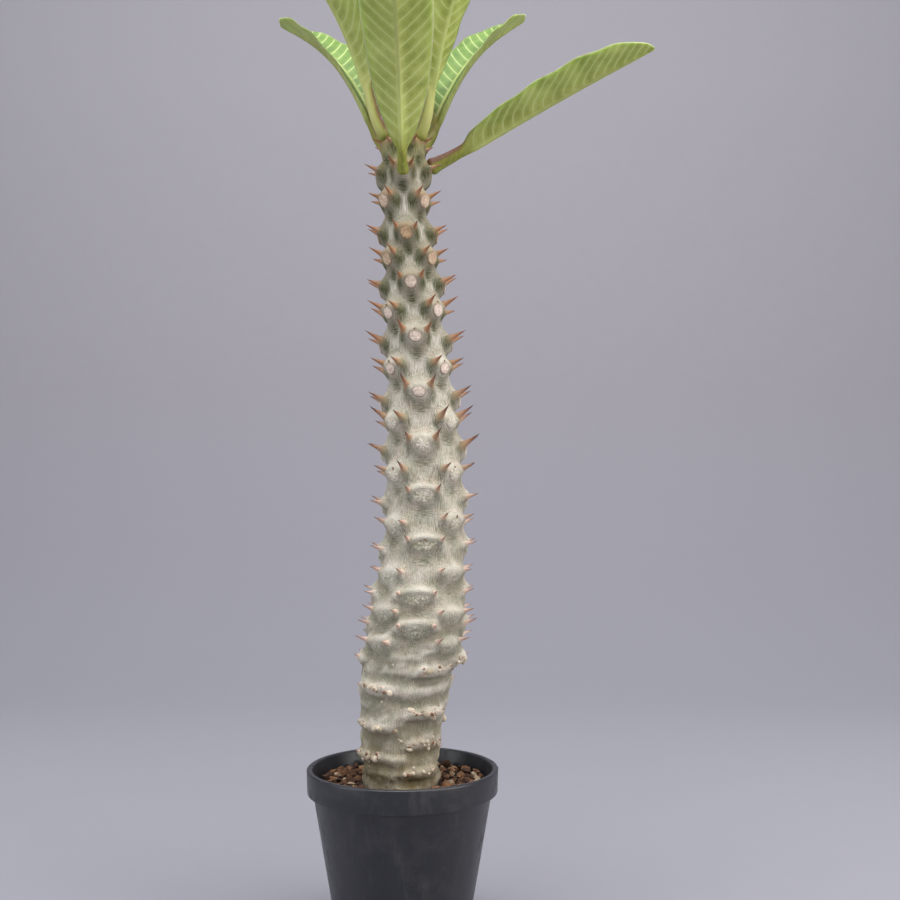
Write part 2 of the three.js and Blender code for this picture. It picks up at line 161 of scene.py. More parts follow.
def ramp(factor, *stops):
    """Runs a value from 0 to 1 through a row of stops, each a place and a screen colour."""
    made = knit(tree_of(factor), "ShaderNodeValToRGB", {"Fac": factor})
    elements = made.color_ramp.elements
    while len(elements) < len(stops):
        elements.new(0.5)
    for element, (place, *screen_colour) in zip(elements, stops):
        element.position = place
        element.color = linear(*screen_colour)
    return made.outputs["Color"]


def dress(material, colour, wear, roughness, relief, depth, others=None):
    """Finishes a material. Its roughness follows the wear between two values; depth is in metres."""
    tree = material.node_tree
    bump = knit(tree, "ShaderNodeBump", {"Height": relief, "Distance": depth, "Strength": 1.0})
    rough = stretch_to(wear, 0, 1, *roughness)
    sockets = {"Base Color": colour, "Roughness": rough, "Normal": bump.outputs["Normal"]}
    feed(tree.nodes["Principled BSDF"], {**sockets, **(others or {})})


def bring_in(name, data):
    """Puts a new object with its data in the scene."""
    made = bpy.data.objects.new(name, data)
    bpy.context.scene.collection.objects.link(made)
    return made


def set_down(bm, name):
    """Makes a finished shape an object in the scene."""
    mesh = bpy.data.meshes.new(name)
    bm.to_mesh(mesh)
    bm.free()
    return bring_in(name, mesh)


def settle(bm, name, material, slot, *nodes):
    """Makes a finished shape a piece of the plant that stands for its solids."""
    piece = set_down(bm, name)
    piece.data.shade_smooth()
    piece.data.materials.append(material)
    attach(piece, "root")
    if nodes:
        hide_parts(*nodes)
    return piece


def turn_profile(bm, profile, steps):
    """Spins a profile of (radius, height) in millimetres round the pot's axis, closed where it meets it."""
    verts = [bm.verts.new((r * MM, 0, z * MM)) for r, z in profile]
    edges = [bm.edges.new(pair) for pair in zip(verts, verts[1:])]
    bmesh.ops.spin(
        bm, geom=verts + edges, cent=(0, 0, 0), axis=(0, 0, 1), angle=math.tau, steps=steps, use_merge=True
    )
    bmesh.ops.remove_doubles(bm, verts=bm.verts, dist=1e-6)
    bmesh.ops.recalc_face_normals(bm, faces=bm.faces)


def round_off(bm, places, offset, segments):
    """Rounds the edges that run round the axis at these (radius, height) places."""
    rings = []
    for edge in bm.edges:
        a, b = (Vector((v.co.xy.length, v.co.z)) for v in edge.verts)
        if (a - b).length < 1e-7 and any((a / MM - Vector(place)).length < 0.01 for place in places):
            rings.append(edge)
    bmesh.ops.bevel(
        bm, geom=rings, offset=offset * MM, segments=segments, profile=0.5, affect="EDGES", material=-1
    )


def wall_radius(z):
    """The outside of the pot's wall at a height."""
    return FOOT_RADIUS + (RIM_RADIUS - BAND_STEP - FOOT_RADIUS) * z / POT_HEIGHT


band_foot = POT_HEIGHT - BAND_HEIGHT
ledges = [(wall_radius(band_foot), band_foot), (RIM_RADIUS - 0.4, band_foot + 1)]
lip = [(RIM_RADIUS, POT_HEIGHT), (RIM_RADIUS - WALL - LIP_THICKER, POT_HEIGHT)]
pot_shape = bmesh.new()
turn_profile(
    pot_shape,
    [
        (0, 0),
        (MIDDLE_PAD_RADIUS, 0),
        (MIDDLE_PAD_RADIUS, FLOOR_UNDERSIDE),
        (FOOT_RADIUS - FOOT_RING, FLOOR_UNDERSIDE),
        (FOOT_RADIUS - FOOT_RING, 0),
        (FOOT_RADIUS - 0.8, 0),
        (FOOT_RADIUS + 0.2, 1),
        *ledges,
        *lip,
        (wall_radius(band_foot) - WALL, band_foot),
        (FOOT_RADIUS - WALL + 1, FLOOR_TOP + 3),
        (FOOT_RADIUS - WALL - 2, FLOOR_TOP),
        (0, FLOOR_TOP),
    ],
    POT_STEPS,
)
round_off(pot_shape, lip, LIP_ROUNDING, 5)
round_off(pot_shape, ledges, LEDGE_ROUNDING, 2)

cutters = bmesh.new()
for i in range(DRAIN_HOLES):
    turn = Matrix.Rotation(math.tau * i / DRAIN_HOLES, 4, "Z")
    drain = turn @ Matrix.Translation((0, -DRAIN_CIRCLE * MM, 3.5 * MM))
    radius = DRAIN_RADIUS * MM
    bmesh.ops.create_cone(
        cutters, cap_ends=True, segments=24, radius1=radius, radius2=radius, depth=9 * MM, matrix=drain
    )
    at_foot = Matrix.Translation((0, -FOOT_RADIUS * MM, 0))
    notch = turn @ at_foot @ Matrix.Diagonal((*(Vector(NOTCH_SIZE) * MM), 1))
    bmesh.ops.create_cube(cutters, size=1, matrix=notch)

plastic = surface("black_nursery_plastic")
plastic_dust = stretch_to(speckle(plastic, 60, 6, rough=0.7), 0.5, 0.72)
plastic_scuff = stretch_to(speckle(plastic, 140, 5, (1, 1, 0.2)), 0.56, 0.68)
plastic_wear = plus(times(plastic_dust, 0.45), times(plastic_scuff, 0.4))
plastic_colour = ramp(plastic_wear, (0, 34, 35, 40), (0.5, 54, 54, 58), (1, 90, 84, 79))
plastic_dull = plus(plastic_dust, plastic_scuff)
dress(plastic, plastic_colour, plastic_dull, (0.34, 0.6), speckle(plastic, 900, 5), 0.00008)

pot = settle(pot_shape, "pot_moulding", plastic, "pot", "pot")
cutter = set_down(cutters, "pot_cutters")
opening = pot.modifiers.new("holes", "BOOLEAN")
opening.operation = "DIFFERENCE"
opening.solver = "EXACT"
opening.object = cutter
bpy.context.view_layer.update()
pierced = bpy.data.meshes.new_from_object(pot.evaluated_get(bpy.context.evaluated_depsgraph_get()))
pot.modifiers.clear()
pot.data = pierced
bpy.data.objects.remove(cutter)
pierced.set_sharp_from_angle(angle=math.radians(40))


# The stem's skin: silvery cork over green bark, grown as one piece from the buried foot to the tip. Whorls of
# four knobs, front and diagonal by turns, stand on a tapering, slightly bent column, and near the soil they
# have spread into low ridges. The cork is finely lined along the column and round and below each knob.
STEM_BASE = 42
STEM_TIP = 455
BURIED_TOP = 82
STEM_STATIONS = np.array([
    # height, radius, lean
    (42, 9, -1.4),
    (60, 16, -1.4),
    (87, 20.3, -1.4),
    (108, 21.4, -0.9),
    (130, 23.3, 0.8),
    (146, 25.2, 2.6),
    (162, 25.8, 6.2),
    (190, 24.0, 9.2),
    (222, 21.2, 12.0),
    (250, 20.3, 12.0),
    (278, 18.6, 11.0),
    (306, 16.5, 9.0),
    (339, 14.6, 6.4),
    (371, 12.8, 4.2),
    (400, 11.0, 1.4),
    (434, 10.4, 0.5),
    (447, 7.6, 0.4),
    (455, 2.4, 0.4),
])
FRONT_WHORLS = [447, 421, 387, 360.5, 331, 300.5, 273.5, 246, 220, 192, 174.5]
LAST_DIAGONAL_WHORL = 164
COLUMN_LAG = {0: 0, 45: 0.5, 90: 3.5, 135: 2, 180: 3, 225: 3.5, 270: 6.5, 315: 1.5}
RIDGES_BELOW = 160
RIDGE_PAIRS = [
    # height, bearing, swell
    (154.5, 80, 1.8),
    (152, 34, 1),
    (141, -48, 1),
    (127.5, 36, 1),
    (120.5, -50, 1),
    (110.5, 38, 1),
    (103.5, -48, 1),
    (96, 30, 1),
]
KNOB_STATIONS = np.array([
    # height, out, half width, reach up, reach down, spread of the spines, spine length, spine thickness
    (97, 2.0, 15, 3.4, 2.6, 8.5, 1.8, 1.2),
    (153, 2.6, 13, 4.4, 3.4, 9, 2.4, 1.4),
    (158, 3.4, 11, 4.8, 3.8, 6.5, 5, 1.6),
    (165, 3.6, 10.5, 5, 4, 8.6, 7.6, 1.8),
    (192, 3.6, 10.5, 5.4, 4.4, 9.4, 6.4, 1.7),
    (220, 3.6, 9.4, 6, 4.8, 9, 7, 1.8),
    (246, 3.8, 8.4, 6.4, 5, 7.4, 8.5, 2.1),
    (273, 4.4, 7.4, 6.6, 5.2, 7.1, 11.5, 2.6),
    (300, 4.8, 6.8, 6.6, 5.2, 6.6, 11, 2.6),
    (331, 5.2, 6.4, 6.4, 5.2, 6.4, 11, 2.6),
    (360, 5.2, 5.8, 6, 5.2, 5.6, 10, 2.4),
    (386, 5.2, 5.2, 5.8, 5, 5, 9, 2.3),
    (419, 5, 5.2, 5.6, 4.8, 5.2, 9, 2.1),
    (447, 2, 4, 4, 4, 3.2, 4.5, 1.4),
])
SCAR_STATIONS = np.array([
    # height, half width, half height, dome, brow over it
    (165, 8.0, 3.3, 0.1, 0.9),
    (192, 8.4, 3.6, 0.1, 1.0),
    (220, 7.4, 3.2, 0.3, 1.0),
    (246, 6.2, 3.5, 0.5, 0.9),
    (273, 4.4, 3.6, 0.8, 0.5),
    (300, 3.7, 3.1, 0.5, 0.4),
    (331, 3.7, 3.1, 0.25, 0.35),
    (360, 3.6, 3.3, 0.12, 0.3),
    (406, 3.7, 3.4, 0.1, 0.3),
])
SCAR_DROP = 1.8
AROUND = 210
ROWS = 440
BURIED_ROWS = 12
NEAR_PASSES = 12
WIDE_PASSES = 90
UP = np.array((0.0, 0.0, 1.0))


def smooth_read(stations, column, z):
    """A smooth curve through one column of a table of heights, read at one height or many."""
    heights, values = stations[:, 0], stations[:, column]
    slopes = np.empty(len(heights))
    slopes[1:-1] = (values[2:] - values[:-2]) / (heights[2:] - heights[:-2])
    slopes[0] = (values[1] - values[0]) / (heights[1] - heights[0])
    slopes[-1] = (values[-1] - values[-2]) / (heights[-1] - heights[-2])
    z = np.clip(z, heights[0], heights[-1])
    i = np.clip(np.searchsorted(heights, z, side="right") - 1, 0, len(heights) - 2)
    span = heights[i + 1] - heights[i]
    t = (z - heights[i]) / span
    return (
        (2 * t**3 - 3 * t**2 + 1) * values[i]
        + (t**3 - 2 * t**2 + t) * span * slopes[i]
        + (3 * t**2 - 2 * t**3) * values[i + 1]
        + (t**3 - t**2) * span * slopes[i + 1]
    )


def pebble(n):
    """The same fixed draw from 0 to 1 for each n."""
    x = math.sin(n * 12.9898) * 43758.5453
    return x - math.floor(x)


def ease(x, low, high):
    """A smooth step from 0 at low to 1 at high."""
    t = np.clip((x - low) / (high - low), 0, 1)
    return t * t * (3 - 2 * t)


def fade(x, reach, power=2):
    """1 at 0, falling away smoothly over a reach."""
    return np.exp(-((x / reach) ** power))


def core_radius(z):
    """The column's own radius at some heights."""
    return smooth_read(STEM_STATIONS, 1, z)


def stem_axis(z):
    """The points of the bent column's own line at some heights."""
    return np.stack([smooth_read(STEM_STATIONS, 2, z), np.zeros_like(z * 1.0), z * 1.0], -1)


def outward(bearing):
    """The level direction of a bearing in degrees: 0 is the front, 90 the right."""
    angle = np.radians(bearing)
    return np.stack([np.sin(angle), -np.cos(angle), np.zeros_like(angle)], -1)


def aside(bearing):
    """The level direction to the right of a bearing."""
    return outward(bearing + 90)


knobs = []


def grow_knob(z, bearing, swell=1):
    """Sets one knob on the stem."""
    n = len(knobs) + 1
    knob = SimpleNamespace(n=n, ridge=z < RIDGES_BELOW, diagonal=bearing % 90 != 0)
    for i, key in enumerate(("out", "half", "up", "down", "spread", "spine", "thick")):
        setattr(knob, key, smooth_read(KNOB_STATIONS, i + 1, z))
    for i, key in enumerate(("scar_wide", "scar_tall", "dome", "brow")):
        setattr(knob, key, smooth_read(SCAR_STATIONS, i + 1, z) * (0.94 + 0.12 * pebble(n + 0.2 * i)))
    if knob.diagonal:
        knob.scar_wide *= 0.6 + 0.4 * ease(z, 225, 290)
        knob.scar_tall *= 1.1
        knob.brow *= 0.2
    knob.out *= swell
    middle_of_stem = ease(z, 180, 230) * (1 - ease(z, 300, 400))
    lag = COLUMN_LAG.get((bearing + 360) % 360, 0) * middle_of_stem
    knob.z = z + (pebble(n) - 0.5) * 1.6 - lag
    knob.bearing = bearing + (pebble(n + 0.5) - 0.5) * 5
    knobs.append(knob)


for i, z in enumerate(FRONT_WHORLS):
    below = FRONT_WHORLS[i + 1] if i + 1 < len(FRONT_WHORLS) else LAST_DIAGONAL_WHORL - 4
    for bearing in (0, 90, 180, 270):
        grow_knob(z, bearing)
    for bearing in (-45, 45, 135, 225):
        grow_knob(z + (below - z) * (0.47 + 0.016 * i), bearing)
for z, bearing, swell in RIDGE_PAIRS:
    grow_knob(z, bearing, swell)
    grow_knob(z, bearing + 180, swell)


def from_knob(knob, bearing, z):
    """How far right of a knob's middle, and how far above it, a place on the stem is, in millimetres."""
    turn = np.radians((bearing - knob.bearing + 540) % 360 - 180)
    return turn * (core_radius(z) + knob.out), z - knob.z


def bump_at(across, up, half, high):
    """A soft round bump, 1 at its middle, with its own reach across and up."""
    return fade(across, half) * fade(up, high)


def knob_relief(knob, across, up):
    """How far a knob lifts the skin: its mound, a foot for each spine, the scar's seat, the hollow below."""
    reach = np.where(up > 0, knob.up, knob.down * (1 + 1.4 * ease(knob.z, 424, 434)))
    lift = knob.out * bump_at(across, up, knob.half, reach)
    foot = knob.thick * (1 + 0.18 * ease(knob.z, 300, 340))
    for side in (-1, 1):
        beside = (across - side * (knob.spread - 0.1)) / (1.15 * foot)
        lift = lift + 1.15 * foot * np.exp(-((beside**2 + ((up - 0.4) / (1.5 * foot)) ** 2) ** 0.8))
    if knob.ridge:
        return lift - 0.9 * bump_at(across, up + 1.9 * knob.down, 0.8 * knob.half, 1.9)
    old = 1 - ease(knob.z, 225, 290)
    leafy = ease(knob.z, 408, 414)
    right = across / (knob.scar_wide * (1 + 0.35 * leafy))
    high = (up + SCAR_DROP + 1.6 * leafy) / (knob.scar_tall * (1 + 0.7 * leafy))
    from_scar = np.hypot(right, high)
    slope = 0.24 - 0.12 * old - 0.1 * leafy
    seat = (0.86 - 0.28 * old + 0.1 * leafy) * knob.out + slope * (up + SCAR_DROP)
    flatness = 1 - 0.6 * old * knob.diagonal
    lift = lift + flatness * (seat - lift) * fade(from_scar, 1.22 - 0.1 * old, 5)
    lift = lift + knob.brow * ease(high, -0.5, 0.5) * fade(from_scar - 1.5, 0.42)
    deep = 0.5 + 0.5 * ease(knob.z, 200, 300)
    return lift - 0.8 * deep * bump_at(across, up + 2.1 * knob.down, 5, 2.6)


def lumps(places, level_scale, up_scale, shift=0.0):
    """Soft noise at places on the stem, with its own scale round the stem and along it."""
    scaled = places * (level_scale, level_scale, up_scale) + (shift, 0, 0)
    return np.array([noise.noise(place) for place in scaled.tolist()])


def uneven_skin(bearing, z):
    """Soft unevenness everywhere, and near the soil rolls and dents that run part of the way round."""
    on_round = outward(bearing) * 20 + z[:, None] * UP
    uneven = lumps(on_round, 0.13, 0.13) + 0.5 * lumps(on_round, 0.34, 0.34)
    aged = 1 - ease(z, 165, 225)
    rolls = 1.9 * lumps(on_round, 0.05, 0.14) + 1.6 * lumps(on_round, 0.07, 0.07, 9)
    return uneven * (0.32 + 0.75 * aged) + aged * rolls * ease(z, 84, 92)


def skin_radius(bearing, z):
    """The stem's radius: its core, every knob, and the skin's unevenness."""
    raised = np.zeros(z.shape)
    for knob in knobs:
        near = np.abs(z - knob.z) < 3.2 * knob.up + 3
        if np.any(near):
            raised[near] += knob_relief(knob, *from_knob(knob, bearing[near], z[near]))
    return core_radius(z) + raised + uneven_skin(bearing, z)


def skin_point(bearing, z, proud=0.0):
    """Places on the stem's skin, or proud of it, in millimetres."""
    return stem_axis(z) + outward(bearing) * (skin_radius(bearing, z) + proud)[..., None]


def wrap_grid(bm, across, along):
    """Adds a flat grid to be wrapped. Gives its points, and each one's share across and along it."""
    made = bmesh.ops.create_grid(bm, x_segments=across, y_segments=along, size=0.5)["verts"]
    place = np.array([v.co[:2] for v in made]) + 0.5
    return made, place[:, 0], place[:, 1]


def rows_at(table, share):
    """The rows of a table at shares of its length, as its columns."""
    return table[np.rint(share * (len(table) - 1)).astype(int)].T


def lay_points(verts, places):
    """Moves a shape's points to new places, given in millimetres."""
    for vert, place in zip(verts, places * MM):
        vert.co = place


def shape_with(*names):
    """A new shape with room on its points for the values that its material reads."""
    bm = bmesh.new()
    for name in names:
        bm.verts.layers.float.new(name)
    return bm


def write_values(bm, verts, **values):
    """Writes values on points of a shape, one for them all or one for each."""
    for name, value in values.items():
        kind = bm.verts.layers.float[name]
        for vert, each in zip(verts, np.broadcast_to(value, len(verts))):
            vert[kind] = each


def close_up(bm):
    """Merges seams and poles, caps open ends and turns every face outwards."""
    bmesh.ops.remove_doubles(bm, verts=bm.verts, dist=2e-6)
    bmesh.ops.dissolve_degenerate(bm, dist=1e-7, edges=bm.edges)
    bmesh.ops.recalc_face_normals(bm, faces=bm.faces)
    bmesh.ops.holes_fill(bm, edges=bm.edges, sides=0)
    bmesh.ops.recalc_face_normals(bm, faces=bm.faces)


stem_shape = shape_with("crest", "green", "wrinkle", "reach", "young", "foot", "ridge", "hollow")
skin, share_round, share_up = wrap_grid(stem_shape, AROUND, ROWS)
row = np.rint(share_up * ROWS).astype(int)
skin_z = np.interp(row, [1, BURIED_ROWS, ROWS - 1], [STEM_BASE, BURIED_TOP, STEM_TIP])
skin_bearing = share_round * 360
radius = skin_radius(skin_bearing, skin_z)

# What the bark's colours follow: raised and hollow places, which carry painted light on the raised places and
# painted shade in the hollows over the cork's own paler crests; the green bark on the flanks and under the
# knobs, with painted shade there too; wrinkled hollows, young wood, the distance from the nearest knob, the
# spines' feet, the ridges near the soil, and the oldest scars' hollows.
grid_radius = np.empty((ROWS + 1, AROUND + 1))
column = np.rint(share_round * AROUND).astype(int)
grid_radius[row, column] = radius
smoothed = grid_radius.copy()
for step in range(WIDE_PASSES):
    ring = smoothed[:, :-1]
    smoothed[:, :-1] = (ring + np.roll(ring, 1, 1) + np.roll(ring, -1, 1)) / 3
    smoothed[:, -1] = smoothed[:, 0]
    smoothed[1:-1] = (smoothed[:-2] + smoothed[1:-1] + smoothed[2:]) / 3
    if step == NEAR_PASSES - 1:
        nearby = smoothed.copy()
raised_near = radius - nearby[row, column]
raised_wide = radius - smoothed[row, column]
# Raised places are painted paler and hollows darker: painted light and shade, over the cork's own paler
# crests.
crest = np.clip(0.5 + (0.45 * raised_near + 0.2 * raised_wide) * (1 - 0.65 * ease(skin_z, 320, 370)), 0, 1)
green, wrinkle, foot, ridge, hollow = (np.zeros_like(radius) for _ in range(5))
reach_out = np.full_like(radius, 30.0)
for knob in knobs:
    across, up = from_knob(knob, skin_bearing, skin_z)
    if knob.ridge:
        ridge = np.maximum(ridge, bump_at(across, up - 0.5, knob.half, 2.4))
        continue
    below = up + 2.1 * knob.down
    grown = 0.55 + 0.3 * ease(knob.z, 220, 300) + 0.45 * ease(knob.z, 300, 370)
    upper = ease(knob.z, 290, 340)
    flank_at = knob.spread + 2.0 + 0.5 * upper - 4.0 * (1 - ease(knob.z, 200, 260))
    # The dark green on the flanks and under each knob is partly the green bark and partly painted shade.
    flank = bump_at(np.abs(across) - flank_at, up + 1.5, 3.0 + 0.3 * upper, 4.0 + 0.6 * upper)
    under = (0.62 + 0.22 * upper) * bump_at(across, below, 4.6 - 1.2 * upper, 3.4 + 0.8 * upper)
    green = np.maximum(green, grown * np.maximum(flank, under))
    wrinkle = np.maximum(wrinkle, bump_at(across, below, 0.75 * knob.half + 2, 4.2))
    reach_out = np.minimum(reach_out, np.hypot(across, (up + SCAR_DROP) * 0.95))
    for side in (-1, 1):
        beside = np.hypot(across - side * knob.spread, up - 1.2)
        foot = np.maximum(foot, fade(beside, 1.05 * knob.thick))
    between_spines = fade(across, knob.spread, 4) * fade(up - 1.8, 2.4)
    foot = np.maximum(foot, 0.85 * ease(knob.z, 300, 360) * between_spines)
    from_scar = np.hypot(across / knob.scar_wide, (up + SCAR_DROP + 0.6) / knob.scar_tall)
    sunk = (1 - ease(knob.z, 206, 226)) * (0.8 if knob.diagonal else 1)
    hollow = np.maximum(hollow, sunk * fade(from_scar, 1, 3))

radius[(row == 0) | (row == ROWS)] = 0
lay_points(skin, stem_axis(skin_z) + outward(skin_bearing) * radius[:, None])
write_values(stem_shape, skin, crest=crest, green=green, wrinkle=wrinkle, reach=reach_out)
write_values(stem_shape, skin, young=ease(skin_z, 412, 436), foot=foot, ridge=ridge, hollow=hollow)
close_up(stem_shape)


def height_on(material):
    """The height above the ground, in metres."""
    return knit(material.node_tree, "ShaderNodeSeparateXYZ", {"Vector": place_on(material)}).outputs["Z"]


bark = surface("silvery_cork_over_green_bark")
bark_height = height_on(bark)
bark_crest, bark_young = mark(bark, "crest"), mark(bark, "young")
bark_reach, bark_foot = mark(bark, "reach"), mark(bark, "foot")
bark_fibre = stretch_to(speckle(bark, 1750, 2, (1, 1, 0.11), 0.5), 0.3, 0.7)
bark_cross = stretch_to(speckle(bark, 1500, 2, (0.22, 0.22, 1.1), 0.5), 0.3, 0.7)
bark_grain = speckle(bark, 1900, 4, (1, 1, 0.6), 0.6)
bark_patch = speckle(bark, 110, 4, (1, 1, 0.7))

halo_drift = reckon("MULTIPLY", speckle(bark, 240, 2), 22.0)
halo_wave = reckon("SINE", reckon("ADD", reckon("MULTIPLY", bark_reach, 7.0), halo_drift))
halo_lines = times(stretch_to(halo_wave, -0.6, 1.0), stretch_to(bark_grain, 0.3, 0.6, 0.5, 1))
halo_near = times(stretch_to(bark_reach, 4.5, 10.5, 0.5, 0), stretch_to(bark_young, 0, 0.5, 1, 0))
bark_lines = layer(mark(bark, "wrinkle"), bark_fibre, bark_cross)
bark_lines = layer(halo_near, bark_lines, halo_lines)
bark_relief = layer(0.3, bark_lines, bark_grain)
line_weight = stretch_to(bark_height, 0.165, 0.25, 0.6, 1)
bark_relief = layer(line_weight, stretch_to(bark_grain, 0.32, 0.68), bark_relief)

bark_texture = plus(stretch_to(bark_relief, 0.2, 0.8, 0, 0.44), stretch_to(bark_patch, 0.3, 0.7, 0, 0.26))
# The crests are painted lighter and the hollows darker here: painted light and shade, partly the cork's own
# tone.
bark_tone = plus(stretch_to(bark_crest, 0.1, 0.95, 0, 0.38), bark_texture)
bark_colour = ramp(
    bark_tone,
    (0.0, 102, 99, 80),
    (0.25, 146, 141, 123),
    (0.5, 184, 178, 163),
    (0.75, 205, 199, 186),
    (1.0, 222, 216, 205),
)
seam = times(
    stretch_to(bark_reach, 9.5, 13.5, 0, 0.85),
    stretch_to(bark_height, 0.25, 0.31),
    stretch_to(bark_lines, 0.25, 0.75, 0.55, 1),
    stretch_to(bark_young, 0, 1, 1, 0.1),
)
# Painted shade: the hollows of the lower trunk are painted a darker grey-green, more strongly the lower they
# lie, in mottled patches.
low_hollow_shade = times(
    stretch_to(bark_height, 0.2, 0.15, 0, 0.78),
    stretch_to(bark_crest, 0.3, 0.75, 1, 0.12),
    stretch_to(bark_patch, 0.36, 0.62, 0.35, 1),
)
bark_colour = coats(
    bark_colour,
    (stretch_to(speckle(bark, 170, 3), 0.46, 0.66, 0, 0.3), 190, 166, 146),
    (stretch_to(speckle(bark, 130, 4, (1, 1, 0.8)), 0.54, 0.36, 0, 0.35), 138, 142, 120),
    (stretch_to(bark_height, 0.3, 0.38, 0, 0.54), 112, 106, 80),
    (seam, 204, 198, 186),
    (times(bark_young, stretch_to(bark_relief, 0.3, 0.7, 0.95, 0.6)), 136, 134, 78),
    (times(bark_foot, stretch_to(bark_patch, 0.3, 0.7, 0.4, 0.8)), 152, 132, 98),
    # Dark green on the flanks and under the knobs: partly the green bark, partly painted shade.
    (times(mark(bark, "green"), stretch_to(bark_relief, 0.25, 0.75, 1.1, 0.5)), 70, 74, 44),
    (times(bark_foot, stretch_to(bark_height, 0.36, 0.42, 0, 0.6)), 168, 126, 86),
    (low_hollow_shade, 118, 115, 95),
)
flecked = ramp(speckle(bark, 800, 3), (0.42, 124, 124, 100), (0.52, 158, 154, 134), (0.62, 206, 200, 184))
bark_colour = layer(times(mark(bark, "hollow"), 0.75), bark_colour, flecked)
moss = times(
    stretch_to(bark_height, 0.0895, 0.0925),
    stretch_to(bark_height, 0.0985, 0.0935, 0, 0.75),
    stretch_to(speckle(bark, 190, 4), 0.45, 0.58),
)
stain = times(stretch_to(bark_height, 0.132, 0.088, 0, 0.85), stretch_to(bark_patch, 0.35, 0.65, 0.4, 1))
bark_colour = coats(
    bark_colour,
    (times(mark(bark, "ridge"), stretch_to(bark_grain, 0.35, 0.6, 0.1, 0.6)), 212, 196, 174),
    (stain, 122, 106, 68),
    (moss, 80, 72, 42),
)
dress(bark, bark_colour, bark_tone, (0.85, 0.68), bark_relief, 0.00042, {"Specular IOR Level": 0.3})
settle(stem_shape, "stem_skin", bark, "bark", "stem")


# Leaf scars: the seats that fallen leaf stalks leave on the knobs, grown into the skin. The newest are round
# flat tan discs, older ones white cork, and further down broad wrinkled lenses. The oldest have sunk into the
# skin and are only its colour. A withered bud scale sits at the top of some.
SCAR_FOOT = 212
SCAR_TOP = 406
SCAR_ROUND = 32
SCAR_RINGS = np.array([
    # share of the radius, height, share of the dome
    (1.06, -0.9, 0),
    (1.0, 0.32, 0),
    (0.88, 0.42, 0.1),
    (0.74, 0.34, 0.45),
    (0.52, 0.28, 0.75),
    (0.26, 0.25, 0.95),
    (0.0, 0.25, 1.0),
])
BUDS_BELOW = 350
BUD_SHARE = 0.7

scar_shape = shape_with("age", "edge", "bud", "sunken", "clean")
scarred = [knob for knob in knobs if SCAR_FOOT < knob.z < SCAR_TOP]
for knob in scarred:
    age = min(1, 1 - ease(knob.z, 250, 400) + 0.11 * knob.diagonal * (knob.z > 390))
    clean = ease(knob.z, 282, 306)
    sunken = (1 - ease(knob.z, 225, 262)) * (1 - 0.6 * knob.diagonal)
    ray = (0.1 + 0.12 * ease(knob.z, 215, 270)) * (1 - clean)
    made, round_share, ring_share = wrap_grid(scar_shape, SCAR_ROUND, len(SCAR_RINGS) - 1)
    angle = round_share * math.tau
    share, height, domed = rows_at(SCAR_RINGS, ring_share)
    unround = 0.05 * np.sin(angle * 2 + knob.n) + 0.03 * np.sin(angle * 5 + 2 * knob.n)
    wobble = 1 + (1 - 0.6 * clean) * unround
    right = share * knob.scar_wide * wobble * np.cos(angle)
    high = share * knob.scar_tall * wobble * np.sin(angle)
    lines = np.sin(angle * 8 + 0.7 * np.sin(angle * 3 + knob.n))
    proud = height * (1 - 0.6 * age) + domed * knob.dome
    proud = np.where(share > 1.01, -0.9, proud + age * ray * lines * ease(share, 0.15, 0.6) * (share < 0.98))
    z = knob.z - SCAR_DROP + high
    bearing = knob.bearing + np.degrees(right / (core_radius(z) + knob.out))
    lay_points(made, skin_point(bearing, z, proud))
    rim = ease(share, 0.74, 0.98) * (1 - 0.5 * age * (1 - clean))
    cracks = 0.4 * age * (1 - clean) * (lines < -0.3) * (share > 0.3)
    write_values(scar_shape, made, age=age, clean=clean, sunken=sunken, edge=np.maximum(rim, cracks))
chances = np.array([pebble(knob.n + 0.37) for knob in scarred])
bearings = np.array([knob.bearing for knob in scarred]) + (chances - 0.5) * 5
tops = [knob.z - SCAR_DROP + knob.scar_tall + 0.9 * ease(knob.z, 290, 320) for knob in scarred]
places = skin_point(bearings, np.array(tops), 0.3)
for knob, chance, place in zip(scarred, chances, places):
    if chance > BUD_SHARE or knob.z > BUDS_BELOW:
        continue
    size = (0.3 + 0.35 * chance) * MM
    turn = Matrix.Rotation(chance * 9, 4, "Y")
    shape = Matrix.Translation(Vector(place) * MM) @ turn @ Matrix.Diagonal((size, size * 1.2, size * 1.7, 1))
    bud = bmesh.ops.create_icosphere(scar_shape, subdivisions=1, radius=1, matrix=shape)["verts"]
    write_values(scar_shape, bud, bud=1)
close_up(scar_shape)

cork = surface("leaf_scar_cork")
cork_fine = speckle(cork, 1700, 5, rough=0.65)
cork_blotch = speckle(cork, 700, 3)
cork_mix = layer(0.4, cork_fine, cork_blotch)
cork_fresh = ramp(cork_mix, (0.38, 146, 114, 82), (0.62, 202, 172, 136))
cork_old = ramp(cork_mix, (0.36, 164, 158, 138), (0.5, 206, 197, 181), (0.66, 234, 226, 213))
cork_white = ramp(cork_mix, (0.38, 178, 154, 134), (0.5, 216, 197, 182), (0.62, 236, 222, 210))
cork_sunken = ramp(cork_blotch, (0.38, 136, 136, 110), (0.5, 166, 162, 140), (0.64, 208, 203, 186))
cork_old = layer(mark(cork, "clean"), cork_old, cork_white)
cork_colour = layer(stretch_to(mark(cork, "age"), 0.04, 0.2), cork_fresh, cork_old)
cork_colour = layer(mark(cork, "sunken"), cork_colour, cork_sunken)
cork_colour = coats(
    cork_colour, (times(mark(cork, "edge"), 0.75), 102, 90, 62), (mark(cork, "bud"), 126, 98, 72)
)
dress(cork, cork_colour, cork_fine, (0.7, 0.85), cork_fine, 0.0003)
settle(scar_shape, "leaf_scars", cork, "bark")


